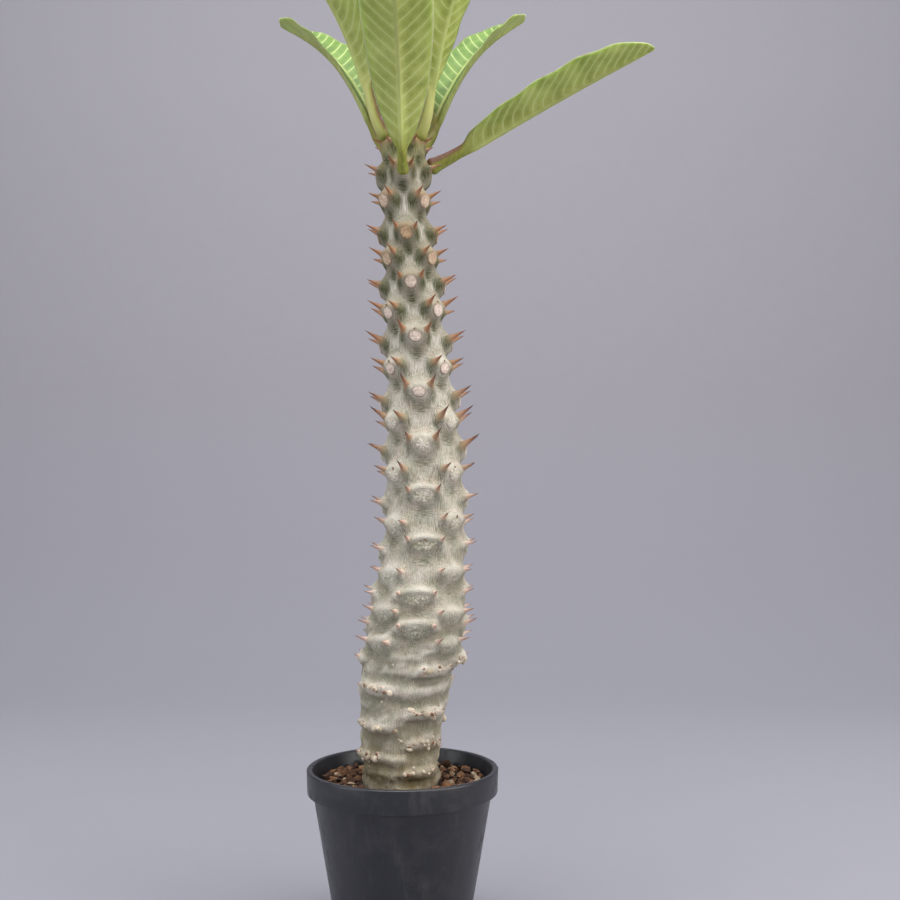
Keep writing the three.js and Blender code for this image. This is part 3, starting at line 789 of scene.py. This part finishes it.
# Warts: small cream-coloured corky lumps that crowd along the ridges near the soil, where knobs wore away.
# They are part of the cork, rounded and half sunk in it, some tipped with the brown stub of an old spine.
STRAY_WARTS = 80
wart_shape = shape_with("tip", "tone")
draw = random.Random(41)
warts = []
for knob in knobs:
    if not knob.ridge:
        continue
    for _ in range(7 + round(12 * pebble(knob.n + 0.6))):
        beside, level = draw.gauss(0, 0.4) * knob.half, draw.gauss(0.2, 1.2)
        z = knob.z + level
        bearing = knob.bearing + math.degrees(beside / core_radius(z))
        warts.append((bearing, z, 0.7 + 1.5 * draw.random() ** 2, draw.random() < 0.3))
for _ in range(STRAY_WARTS):
    warts.append((draw.uniform(0, 360), draw.uniform(92, 176), draw.uniform(0.3, 0.9), draw.random() < 0.45))
bearings, heights, sizes, _ = np.array(warts).T
for (bearing, z, size, stub), place in zip(warts, skin_point(bearings, heights, -0.2 * sizes)):
    out = Vector(outward(bearing))
    middle = Vector(place) * MM
    turn = Vector((0, 0, 1)).rotation_difference(out).to_matrix().to_4x4()
    stretch = (size * draw.uniform(0.8, 1.4), size * draw.uniform(0.7, 1.1), size * draw.uniform(0.6, 0.9), 1)
    shape = Matrix.Translation(middle) @ turn @ Matrix.Diagonal(stretch) @ Matrix.Scale(MM, 4)
    made = bmesh.ops.create_uvsphere(wart_shape, u_segments=8, v_segments=6, radius=1, matrix=shape)["verts"]
    lift = np.array([(vert.co - middle).dot(out) for vert in made]) / (size * MM)
    write_values(wart_shape, made, tip=stub * np.maximum(0, (lift - 0.4) / 0.3), tone=draw.random())
close_up(wart_shape)

wart = surface("cream_wart_cork")
wart_fine = speckle(wart, 1500, 4)
wart_tone = plus(times(mark(wart, "tone"), 0.5), times(wart_fine, 0.5))
wart_colour = ramp(wart_tone, (0.15, 150, 138, 114), (0.5, 196, 182, 160), (0.8, 228, 212, 188))
wart_colour = coats(wart_colour, (mark(wart, "tip"), 112, 74, 52))
dress(wart, wart_colour, wart_fine, (0.65, 0.8), wart_fine, 0.0004)
settle(wart_shape, "ridge_warts", wart, "bark")


# Spines: each knob's pair of hard thorns, grown out of it beside the leaf seat. They flare into the knob with
# a broad foot, bend slightly upwards, and run from greenish tan through orange-brown to a dark point; the old
# ones low on the stem are short, blunt and pinkish.
SPINE_ROUND = 8
SPINE_STAGES = np.array([
    # along, width, height
    (-0.3, 2.2, 2.6),
    (-0.1, 1.9, 2.2),
    (0.04, 1.6, 1.85),
    (0.18, 1.25, 1.42),
    (0.36, 0.88, 0.98),
    (0.6, 0.5, 0.54),
    (0.84, 0.22, 0.23),
    (1, 0, 0),
])
spine_shape = shape_with("along", "tint", "worn", "fresh")
pairs = [(knob, side, pebble(knob.n + 0.11 * side)) for knob in knobs for side in (-1, 1)]
table = [(knob.bearing, knob.z, knob.thick, side * knob.spread) for knob, side, _ in pairs]
bearings, heights, thicks, spreads = np.array(table).T
root_bearings = bearings + np.degrees(spreads / skin_radius(bearings, heights))
for (knob, side, chance), root in zip(pairs, skin_point(root_bearings, heights + 1.0, -1.15 * thicks)):
    worn = 1 - ease(knob.z, 205, 275)
    fresh = ease(knob.z, 285, 340)
    sidewards = side * (0.2 + 0.12 * chance) * aside(knob.bearing)
    rise = 0.33 - 0.16 * worn - 0.1 * fresh + 0.28 * (chance - 0.5)
    way = (0.82 + 0.1 * worn) * outward(knob.bearing) + sidewards + rise * UP
    way /= np.linalg.norm(way)
    length = knob.spine * (0.72 + 0.2 * chance) + knob.thick
    flat = np.cross(way, UP)
    flat /= np.linalg.norm(flat)
    tall = np.cross(flat, way)
    made, round_share, stage_share = wrap_grid(spine_shape, SPINE_ROUND, len(SPINE_STAGES) - 1)
    along, wide, high = rows_at(SPINE_STAGES, stage_share)
    bent = 0.08 * length * np.maximum(along, 0) ** 2 - 0.5 * knob.thick * np.maximum(0.3 - along, 0)
    centre = root + np.outer(length * along, way) + np.outer(bent, UP)
    angle = round_share * math.tau
    ring = np.outer(np.cos(angle) * wide, flat) + np.outer(np.sin(angle) * high, tall)
    lay_points(made, centre + 0.6 * knob.thick * ring)
    write_values(spine_shape, made, along=np.clip(along, 0, 1), tint=chance, worn=worn, fresh=fresh)
close_up(spine_shape)

thorn = surface("hard_thorn")
thorn_streak = speckle(thorn, 700, 4, (1, 1, 0.5))
thorn_place = plus(mark(thorn, "along"), stretch_to(thorn_streak, 0.3, 0.7, -0.07, 0.07))
thorn_place = plus(thorn_place, stretch_to(mark(thorn, "tint"), 0, 1, -0.06, 0.06))
thorn_new = ramp(
    thorn_place,
    (0.0, 138, 132, 106),
    (0.16, 154, 136, 106),
    (0.38, 168, 134, 104),
    (0.66, 140, 98, 74),
    (0.92, 70, 46, 40),
)
thorn_old = ramp(
    thorn_place, (0.0, 196, 184, 166), (0.35, 206, 178, 162), (0.7, 176, 138, 118), (0.95, 104, 70, 54)
)
thorn_colour = coats(
    layer(mark(thorn, "worn"), thorn_new, thorn_old),
    (times(mark(thorn, "fresh"), stretch_to(thorn_place, 0.08, 0.34, 0.9, 0)), 88, 90, 58),
    (times(mark(thorn, "fresh"), stretch_to(thorn_place, 0.15, 0.4, 0, 0.45)), 164, 108, 62),
)
dress(thorn, thorn_colour, thorn_streak, (0.42, 0.6), thorn_streak, 0.0002)
settle(spine_shape, "spines", thorn, "bark")


# Leaves: each stands on its knob on a thick round stalk that flattens into a long, slightly folded blade. The
# midrib is thick and pale, side veins curve to the margin between faintly quilted fields, and the margin is a
# fine pale edge that waves a little. Stalks are blushed purple where the sun reaches their upper side.
LEAVES = [
    # node, foot height, bearing, heading, rise (foot, neck, tip), stalk, blade, half width, blush, slim, late
    ("leaf_front", 418, 0, -3, (46, 68, 38), 17, 112, 19, 0.05, 0.76, -4),
    ("leaf_right", 424, 88, 86, (26, 30, 24), 19, 118, 20, 1.6, 1.16, 0),
    ("leaf_back", 421, 180, 176, (36, 56, 20), 17, 116, 20, 0.5, 0.9, 2),
    ("leaf_left_upper", 438, -50, -70, (56, 75, 40), 17, 114, 19, 1.0, 0.95, 10),
    ("leaf_right_upper", 438, 48, 44, (56, 76, 52), 17, 106, 18, 0.8, 0.92, 7),
    ("leaf_back_left", 436, -134, -128, (46, 64, 28), 16, 110, 19, 0.5, 0.92, 3),
    ("leaf_back_right", 436, 134, 130, (46, 66, 32), 16, 108, 19, 0.4, 0.92, 3),
    ("leaf_young_left", 449, -90, -100, (64, 82, 62), 9, 70, 11.5, 0.2, 1, 0),
    ("leaf_young_right", 449, 90, 100, (64, 84, 68), 9, 62, 10.5, 0.2, 1, 0),
    ("leaf_young_back", 449, 180, 180, (66, 84, 70), 8, 52, 9, 0.2, 1, 0),
]
STALK_RADIUS = 3.7
YOUNG_STALK_RADIUS = 2.1
SOCKET_DEPTH = 1.8
SOCKET_GAP = 0.3
STRAIGHT_STALK = 4
BLADE_THICKNESS = 0.8
BLADE_FOLD = 0.42
BLADE_OUTLINE = np.array([
    # share along the blade, share of its half width
    (0, 0.17),
    (0.1, 0.46),
    (0.25, 0.75),
    (0.45, 0.94),
    (0.62, 1),
    (0.78, 0.9),
    (0.9, 0.62),
    (0.97, 0.32),
    (1, 0.07),
])
VEIN_GAP = 6.2
YOUNG_VEIN_GAP = 0.66 * VEIN_GAP
LEAF_ROUND = 44
LEAF_ALONG = 150
STALK_RINGS = 22


def seat_radius(bearing, z):
    """The stem's radius as the leaves' seats are measured from it: the core and the knobs' mounds."""
    total = core_radius(z)
    for knob in knobs:
        if abs(z - knob.z) > 3 * knob.up:
            continue
        across, up = from_knob(knob, bearing, z)
        total += knob.out * bump_at(across, up, knob.half, knob.up if up > 0 else knob.down)
    return total


def leaf_line(height, bearing, heading, rise, stalk, blade, distances):
    """The points and directions of a leaf's own line, at distances from its seat."""

    def direction(s):
        lifting = ease(s, STRAIGHT_STALK, stalk)
        arching = ease(s, stalk, stalk + blade)
        angle = math.radians(rise[0] + (rise[1] - rise[0]) * lifting + (rise[2] - rise[1]) * arching)
        return outward(heading) * math.cos(angle) + UP * math.sin(angle)

    seat = stem_axis(height) + outward(bearing) * (seat_radius(bearing, height) - 0.4)
    s = SOCKET_GAP - SOCKET_DEPTH
    point = seat + direction(0) * s
    points, ways = [], []
    for distance in distances:
        while s < distance - 1e-9:
            move = min(1.0, distance - s)
            point = point + direction(s + move / 2) * move
            s += move
        points.append(point)
        ways.append(direction(s))
    return np.array(points), np.array(ways)


leaf_green = surface("fresh_green_leaf")
leaf_fine = speckle(leaf_green, 900, 2)
vein_place = reckon("SUBTRACT", reckon("FRACT", mark(leaf_green, "vein_run")), 0.5)
vein_off = reckon("ABSOLUTE", vein_place)
side_vein = times(stretch_to(vein_off, 0.035, 0.11, 1, 0), mark(leaf_green, "vein_clear"))
midrib_line = stretch_to(mark(leaf_green, "midrib"), 0.25, 0.75)
leaf_tone = plus(
    stretch_to(speckle(leaf_green, 90, 3), 0.3, 0.7, 0, 0.6),
    plus(stretch_to(vein_off, 0.1, 0.5, 0.2, 0), times(leaf_fine, 0.3)),
)
leaf_below = ramp(leaf_tone, (0.1, 130, 141, 62), (0.5, 158, 166, 86), (0.9, 178, 185, 106))
leaf_above = ramp(leaf_tone, (0.1, 78, 106, 40), (0.5, 98, 128, 54), (0.9, 120, 148, 70))
leaf_colour = coats(
    layer(mark(leaf_green, "upper"), leaf_below, leaf_above),
    (times(side_vein, 0.6), 190, 200, 136),
    (times(midrib_line, 0.8), 184, 192, 118),
    (stretch_to(mark(leaf_green, "rim"), 0.93, 1, 0, 0.75), 206, 206, 160),
)
stalk_streak = stretch_to(speckle(leaf_green, 600, 3, (1, 1, 0.2)), 0.35, 0.65)
stalk_colour = ramp(stalk_streak, (0, 119, 124, 46), (1, 145, 148, 66))
# The upper leaves' stalks are painted pale on their lower side: a painted highlight, partly the stalk's paler
# underside.
stalk_colour = coats(stalk_colour, (mark(leaf_green, "pale"), 196, 196, 124))
leaf_colour = layer(mark(leaf_green, "stalk"), leaf_colour, stalk_colour)
blush_mix = times(mark(leaf_green, "blush"), stretch_to(leaf_fine, 0.3, 0.7, 0.8, 1.1))
leaf_colour = coats(leaf_colour, (blush_mix, 104, 64, 50))
leaf_relief = layer(times(side_vein, 0.5), leaf_fine, (0, 0, 0, 1))
leaf_light = {
    "Specular IOR Level": 0.3,
    "Subsurface Weight": 0.25,
    "Subsurface Radius": (0.3, 0.5, 0.1),
    "Subsurface Scale": 0.004,
}
dress(leaf_green, leaf_colour, leaf_fine, (0.42, 0.56), leaf_relief, 0.00008, leaf_light)

for n, (node, height, bearing, heading, rise, stalk, blade, half, blush, slim, late) in enumerate(LEAVES):
    is_young = "young" in node
    thick = (YOUNG_STALK_RADIUS if is_young else STALK_RADIUS) * slim
    leaf_shape = shape_with("vein_run", "vein_clear", "midrib", "rim", "stalk", "blush", "pale", "upper")
    made, share_round, share_along = wrap_grid(leaf_shape, LEAF_ROUND, LEAF_ALONG)
    joins = [SOCKET_GAP - SOCKET_DEPTH, stalk, stalk + blade]
    stations = np.interp(range(LEAF_ALONG + 1), [0, STALK_RINGS - 1, LEAF_ALONG], joins)
    points, ways = leaf_line(height, bearing, heading, rise, stalk, blade, stations)
    right = aside(heading)
    index = np.rint(share_along * LEAF_ALONG).astype(int)
    distance = stations[index]
    start = stalk + late
    far = np.clip((distance - start) / (stalk + blade - start), 0, 1)
    # The round stalk's section, from its right edge over the top and back below. Its foot swells a little.
    angle = share_round * math.tau
    rounded = np.sqrt(1 - np.clip((2 - distance) / 3.6, 0, 1) ** 2)
    taper = (1 - 0.16 * ease(distance, 0, start) + 0.2 * fade(distance - 0.5, 3)) * rounded
    channel = 0.22 * ease(distance, 5, start) * fade(angle - math.pi / 2, 0.5)
    stalk_side = thick * taper * np.cos(angle)
    stalk_rise = thick * taper * (0.92 * np.sin(angle) - channel)
    # The blade's section: the upper face out to each margin, the lower face back with the midrib under it.
    on_top = (share_round <= 0.5) | (share_round > 0.999)
    across = np.where(share_round <= 0.5, 1 - 4 * share_round, 4 * share_round - 3)
    off_mid = np.abs(across)
    outline = smooth_read(BLADE_OUTLINE, 1, far)
    width = half * outline
    lift = 0.5 * thick * (1 - far) ** 3
    wave = 0.5 * np.sin(far * 31 + n * 1.7 + np.sign(across) * 0.8) * outline
    wave = wave * ease(off_mid, 0.35, 1) * ease(far, 0.1, 0.3)
    face = lift + BLADE_FOLD * width * off_mid**1.15 - 0.06 * width * off_mid**2 + wave
    gap = YOUNG_VEIN_GAP if is_young else VEIN_GAP
    swept = distance - stalk - 0.62 * width * off_mid - 0.2 * width * off_mid**2
    run = swept / gap + 40 + 0.5 * (across < 0)
    between = 1 - np.abs(2 * (run - np.floor(run)) - 1)
    quilt = 0.2 * (1 - between) * ease(off_mid, 0.05, 0.3) * (1 - ease(off_mid, 0.8, 1))
    thin = BLADE_THICKNESS * (1 - 0.55 * ease(off_mid, 0.7, 1))
    rib_half = 0.62 * thick * (1 - 0.75 * far) + 0.25
    under_rib = 1.3 * thick * (1 - far) ** 0.8 * fade(off_mid * width, rib_half)
    blade_rise = face + quilt - np.where(on_top, 0, thin + under_rib)
    # The stalk flattens into the blade over a short neck.
    neck = ease(distance, start - 4, start + (0.03 if late < 0 else 0.08) * blade)
    side_place = stalk_side + (across * width - stalk_side) * neck
    rise_place = stalk_rise + (blade_rise - stalk_rise) * neck
    above = np.cross(ways, right)
    lay_points(made, points[index] + right * side_place[:, None] + above[index] * rise_place[:, None])
    sunny = ease(stalk_rise / thick, -0.4, 0.55) * (1 - ease(distance, start + 4, start + 0.2 * blade))
    # The lower side of the upper leaves' stalks, where the pale painted highlight goes.
    downward_side = ease(-stalk_rise / thick, -0.3, 0.6) * ("upper" in node)
    write_values(
        leaf_shape,
        made,
        vein_run=run,
        vein_clear=ease(off_mid, 0.04, 0.12) * (1 - ease(off_mid, 0.85, 0.97)) * neck,
        midrib=fade(off_mid * width, 2 - 1.5 * far) * neck,
        rim=off_mid * neck,
        stalk=1 - ease(distance, start - 2, start + 0.12 * blade),
        blush=np.minimum(1, blush * sunny * ease(distance, -2, 1)),
        pale=0.8 * downward_side * ease(distance, 0, 8),
        upper=on_top * neck,
    )
    close_up(leaf_shape)
    settle(leaf_shape, node + "_blade", leaf_green, "young_leaf" if is_young else "leaf", node)


# The soil: a fill of small baked-clay and pumice grains, dusty orange-brown with some paler ones, lying loose
# and angular over a darker bed. It is poured in round the stem and stands 8.5 mm under the rim.
SOIL_TOP = 86.5
STEM_AT_SOIL = float(core_radius(SOIL_TOP))
BED_STEPS = 120
BED_RINGS = 14
GRAIN_POINTS = 16

soil_wall = wall_radius(SOIL_TOP) - WALL - 0.6
bed_shape = bmesh.new()
turn_profile(
    bed_shape,
    [
        (0, FLOOR_TOP + 0.3),
        (FOOT_RADIUS - WALL - 2.6, FLOOR_TOP + 0.3),
        (FOOT_RADIUS - WALL + 0.3, FLOOR_TOP + 3.4),
        (soil_wall, SOIL_TOP - 2.6),
        *[(r, SOIL_TOP - 1.4) for r in np.linspace(soil_wall, STEM_AT_SOIL - 6, BED_RINGS + 1)[1:]],
        (0, SOIL_TOP - 1.4),
    ],
    BED_STEPS,
)
for vert in bed_shape.verts:
    if vert.co.z > (SOIL_TOP - 3) * MM and vert.co.xy.length < (soil_wall - 1) * MM:
        vert.co.z += 1.3 * MM * noise.noise(vert.co * 260)

bed = surface("dark_soil_bed")
bed_lumps = speckle(bed, 420, 6, rough=0.7)
bed_colour = ramp(bed_lumps, (0.3, 24, 17, 13), (0.55, 52, 36, 26), (0.8, 92, 65, 45))
dress(bed, bed_colour, bed_lumps, (0.9, 1), bed_lumps, 0.001)
settle(bed_shape, "soil_bed", bed, "soil", "soil")

grain_shape = shape_with("tone")
laid = []


def lay_grain(size, x, y, z, tone):
    """One broken grain: the hull of a few points drawn near a ball."""
    made = []
    stretch = Vector((1, draw.uniform(0.65, 1), draw.uniform(0.55, 0.9)))
    turn = Matrix.Rotation(draw.uniform(0, 6.3), 3, "Z") @ Matrix.Rotation(draw.uniform(-0.8, 0.8), 3, "X")
    for _ in range(GRAIN_POINTS):
        ray = Vector([draw.gauss(0, 1) for _ in range(3)]).normalized() * draw.uniform(0.82, 1.06)
        made.append(grain_shape.verts.new((turn @ (ray * stretch) * size + Vector((x, y, z))) * MM))
    write_values(grain_shape, made, tone=tone)
    hull = bmesh.ops.convex_hull(grain_shape, input=made)
    spare = set(hull["geom_interior"]) | set(hull["geom_unused"])
    inside = [part for part in spare if isinstance(part, bmesh.types.BMVert)]
    bmesh.ops.delete(grain_shape, geom=inside, context="VERTS")


def scatter(count, sizes, room):
    """Lays grains over the bed where there is room for them between the stem and the wall."""
    laid.clear()
    placed = 0
    for _ in range(count * 30):
        if placed == count:
            return
        size = draw.uniform(*sizes)
        low = STEM_AT_SOIL + 0.9 + size * 0.75
        high = soil_wall - 0.4 - size * 0.85
        distance = math.sqrt(draw.uniform(low**2, high**2))
        angle = draw.uniform(0, math.tau)
        x, y = distance * math.cos(angle), distance * math.sin(angle)
        off_stem = math.hypot(x + 1.4, y)
        if off_stem < low or any(math.hypot(x - a, y - b) < room * (size + s) for a, b, s in laid):
            continue
        laid.append((x, y, size))
        z = SOIL_TOP + 1.6 * fade(distance - 40, 9) - 0.6 + draw.uniform(-0.9, 0.9)
        tone = draw.uniform(0, 0.6) if draw.random() < 0.86 else draw.uniform(0.7, 1)
        lay_grain(size, x, y, z, tone)
        placed += 1


scatter(220, (2.5, 3.9), 0.72)
scatter(150, (1.2, 2.0), 0.95)
scatter(240, (0.4, 0.9), 0.7)
bmesh.ops.recalc_face_normals(grain_shape, faces=grain_shape.faces)

grit = surface("baked_clay_and_pumice")
grit_fine = speckle(grit, 1500, 6, rough=0.7)
grit_colour = ramp(
    plus(mark(grit, "tone"), stretch_to(speckle(grit, 350, 3), 0.3, 0.7, 0, 0.22)),
    (0.0, 62, 40, 28),
    (0.3, 98, 66, 45),
    (0.62, 144, 102, 70),
    (0.8, 172, 140, 106),
    (1.0, 194, 172, 144),
)
grit_colour = coats(grit_colour, (stretch_to(grit_fine, 0.35, 0.65, 0.45, 0), 40, 27, 20))
dress(grit, grit_colour, grit_fine, (0.85, 1), grit_fine, 0.0009)
grains = settle(grain_shape, "soil_grains", grit, "soil")
grains.data.set_sharp_from_angle(angle=math.radians(48))


# The place: a plain pale grey floor that sweeps up into a backdrop, painted darker on the floor and lighter
# up the backdrop as painted shade and light, under one broad soft light from above and in front, with a
# weaker fill from each side and a strip that washes the backdrop.
SWEEP_START = 0.7
SWEEP_RADIUS = 1.1
FLOOR_HALF_WIDTH = 3.2
FLOOR_FRONT = -1.4
BACKDROP_TOP = 3
floor_shape = bmesh.new()
turns = np.radians(np.arange(0, 91, 6))
curve = zip(SWEEP_START + SWEEP_RADIUS * np.sin(turns), SWEEP_RADIUS * (1 - np.cos(turns)))
sweep = [(FLOOR_FRONT, 0), *curve, (SWEEP_START + SWEEP_RADIUS, BACKDROP_TOP)]
edge_verts = [floor_shape.verts.new((-FLOOR_HALF_WIDTH, y, z)) for y, z in sweep]
edge_line = [floor_shape.edges.new(pair) for pair in zip(edge_verts, edge_verts[1:])]
pulled = bmesh.ops.extrude_edge_only(floor_shape, edges=edge_line)["geom"]
far_side = [part for part in pulled if isinstance(part, bmesh.types.BMVert)]
bmesh.ops.translate(floor_shape, vec=(2 * FLOOR_HALF_WIDTH, 0, 0), verts=far_side)
bmesh.ops.recalc_face_normals(floor_shape, faces=floor_shape.faces)

paper = surface("pale_grey_backdrop")
paper_fine = speckle(paper, 40, 2)
# Painted shade and light: the paper is painted darker on the floor and lighter with height up the backdrop.
paper_height_shade_and_speckle = plus(stretch_to(height_on(paper), 0, 1.1, 0, 0.9), times(paper_fine, 0.1))
paper_colour = ramp(paper_height_shade_and_speckle, (0, 144, 144, 153), (0.4, 153, 150, 157), (1, 172, 169, 176))
dress(paper, paper_colour, paper_fine, (0.9, 0.95), paper_fine, 0.0001)
backdrop = set_down(floor_shape, "backdrop")
backdrop.data.shade_smooth()
backdrop.data.materials.append(paper)


def hang_light(name, place, towards, size, power, colour=(1, 1, 1)):
    """A rectangular soft light at a place, turned towards a point."""
    lamp = bpy.data.lights.new(name, "AREA")
    lamp.shape = "RECTANGLE"
    lamp.size, lamp.size_y = size
    lamp.energy = power
    lamp.color = colour
    holder = bring_in(name, lamp)
    holder.location = place
    holder.rotation_euler = (Vector(towards) - Vector(place)).to_track_quat("-Z", "Y").to_euler()


hang_light("overhead", (0.05, -0.35, 1.4), (0.02, 0, 0.25), (1.1, 0.9), 22)
hang_light("left_fill", (-1.33, -0.7, 0.6), (0, 0, 0.28), (0.9, 1.2), 9.5, (0.96, 0.98, 1))
hang_light("right_fill", (1.33, -0.62, 0.7), (0, 0, 0.28), (0.9, 1.2), 16, (1, 0.97, 0.93))
hang_light("backdrop_wash", (0.0, 0.5, 2.2), (0, 1.8, 0.9), (2.4, 0.5), 14)
world = bpy.data.worlds.new("studio_air")
world.use_nodes = True
feed(world.node_tree.nodes["Background"], {"Color": linear(214, 216, 224), "Strength": 0.5})
bpy.context.scene.world = world
bpy.context.scene.view_settings.view_transform = "Standard"

# The camera stands level, 646 mm in front of the pot's axis, 26 mm right of it and 247 mm above the ground.
PICTURE_PX = 900
FOCAL_PX = 1175
RAISED_PX = 40
SENSOR = 36
camera_data = bpy.data.cameras.new("camera")
camera_data.sensor_width = SENSOR
camera_data.lens = SENSOR * FOCAL_PX / PICTURE_PX
camera_data.shift_y = RAISED_PX / PICTURE_PX
camera_data.clip_end = 20
camera = bring_in("camera", camera_data)
camera.location = (0.026, -0.646, 0.247)
camera.rotation_euler = (math.radians(90), 0, 0)
bpy.context.scene.camera = camera
